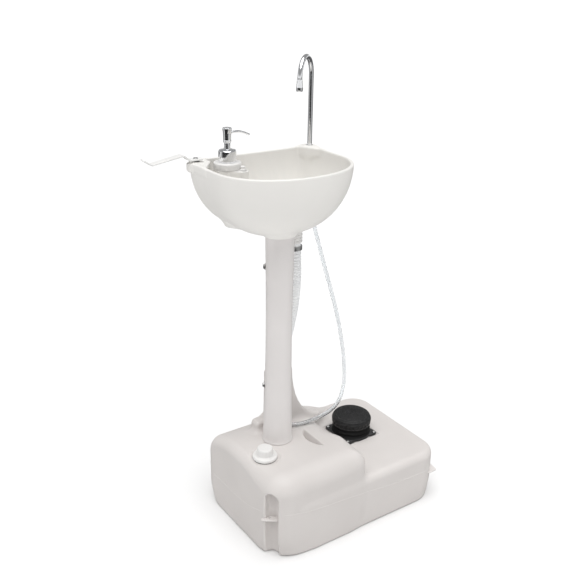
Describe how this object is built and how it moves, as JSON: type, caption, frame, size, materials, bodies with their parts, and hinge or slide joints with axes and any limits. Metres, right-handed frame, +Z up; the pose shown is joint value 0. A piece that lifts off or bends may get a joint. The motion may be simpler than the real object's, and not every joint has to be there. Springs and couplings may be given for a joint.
{
  "type": "portable handwash sink",
  "caption": "Free-standing portable handwash sink: floor water tank with foot pump, plastic column, D-shaped basin, gooseneck spout, soap pump and towel arm.",
  "frame": {"origin": "centre of the tank's footprint, on the floor", "axes": "+X along the tank towards the foot pump, +Y away from the user, +Z up"},
  "size_m": [0.617, 0.3985, 1.019],
  "materials": {
    "tank_plastic": "satin",
    "column_plastic": "satin",
    "basin_plastic": "satin",
    "white_plastic": "satin",
    "chrome": "polished",
    "steel": "brushed",
    "black_rubber": "matte",
    "black_plastic": "satin",
    "seal_rubber": "matte",
    "clear_tube": "translucent",
    "hose_plastic": "translucent",
    "arm_paint": "satin"
  },
  "bodies": {
    "stand": {"water_tank": "tank_plastic", "access_plug": "tank_plastic", "column": "column_plastic", "column_bolts": "steel", "column_washers": "steel", "column_nuts": "steel", "basin": "basin_plastic", "drain_strainer": "chrome", "drain_gasket": "seal_rubber", "drain_nut": "white_plastic", "drain_tail": "white_plastic", "drain_hose": "hose_plastic", "drain_clamp": "steel", "faucet_body": "white_plastic", "faucet_gasket": "seal_rubber", "faucet_nut": "white_plastic", "spout_seal": "seal_rubber", "supply_hose": "clear_tube", "supply_clips": "steel", "port_fitting": "white_plastic", "port_gasket": "seal_rubber", "outlet_tube": "clear_tube", "pickup_tube": "clear_tube", "pickup_filter": "white_plastic", "pump_base": "black_plastic", "pump_gasket": "seal_rubber", "pump_screws": "steel", "inlet_valve": "seal_rubber", "outlet_valve": "seal_rubber", "pump_bellows": "black_rubber", "pump_spring": "steel", "soap_bottle": "white_plastic", "soap_collar": "chrome", "soap_pump_body": "white_plastic", "soap_spring": "steel", "soap_dip_tube": "clear_tube", "arm_spacer": "seal_rubber", "arm_screw": "steel"},
    "spout": {"faucet_spout": "chrome", "faucet_nozzle": "chrome"},
    "tread": {"pump_tread": "black_rubber"},
    "soap_piston": {"soap_stem": "chrome"},
    "soap_actuator": {"soap_head": "chrome"},
    "check_ball": {"soap_ball": "steel"},
    "refill_stopper": {"refill_plug": "white_plastic"},
    "arm": {"towel_arm": "arm_paint"},
    "cap_seal": {"cap_gasket": "seal_rubber"},
    "cap": {"tank_cap": "white_plastic"}
  },
  "joints": [
    {"name": "spout_swivel", "type": "hinge", "parent": "stand", "child": "spout", "pos_m": [0.013, 0.1, 0.83], "axis": [0, 0, 1], "continuous": true},
    {"name": "pump_press", "type": "slide", "parent": "stand", "child": "tread", "axis": [0, 0, -1], "range_m": [0, 0.016], "stiffness_N_per_m": 2500, "springref_m": -0.004, "deforming": ["pump_bellows", "pump_spring"]},
    {"name": "soap_press", "type": "slide", "parent": "stand", "child": "soap_piston", "axis": [0, 0, -1], "range_m": [0, 0.012], "stiffness_N_per_m": 400, "springref_m": -0.004, "deforming": ["soap_spring"]},
    {"name": "soap_swivel", "type": "hinge", "parent": "soap_piston", "child": "soap_actuator", "pos_m": [-0.213, 0.06, 0.87], "axis": [0, 0, 1], "continuous": true},
    {"name": "ball_lift", "type": "slide", "parent": "stand", "child": "check_ball", "axis": [0, 0, 1], "range_m": [0, 0.0012]},
    {"name": "refill_lift", "type": "slide", "parent": "stand", "child": "refill_stopper", "axis": [0, 0, 1], "range_m": [0, 0.01]},
    {"name": "arm_swing", "type": "hinge", "parent": "stand", "child": "arm", "pos_m": [-0.266, 0.092, 0.83], "axis": [0, 0, 1], "range_deg": [-90, 90]},
    {"name": "cap_lift", "type": "slide", "parent": "stand", "child": "cap_seal", "axis": [0, 0, 1], "range_m": [0, 0.006]},
    {"name": "cap_turn", "type": "hinge", "parent": "cap_seal", "child": "cap", "pos_m": [-0.191, -0.048, 0.2], "axis": [0, 0, 1], "range_deg": [0, 540]}
  ],
  "couplings": [
    {"joint": "cap_lift", "follows": "cap_turn", "m_per_rad": 0.000636}
  ]
}
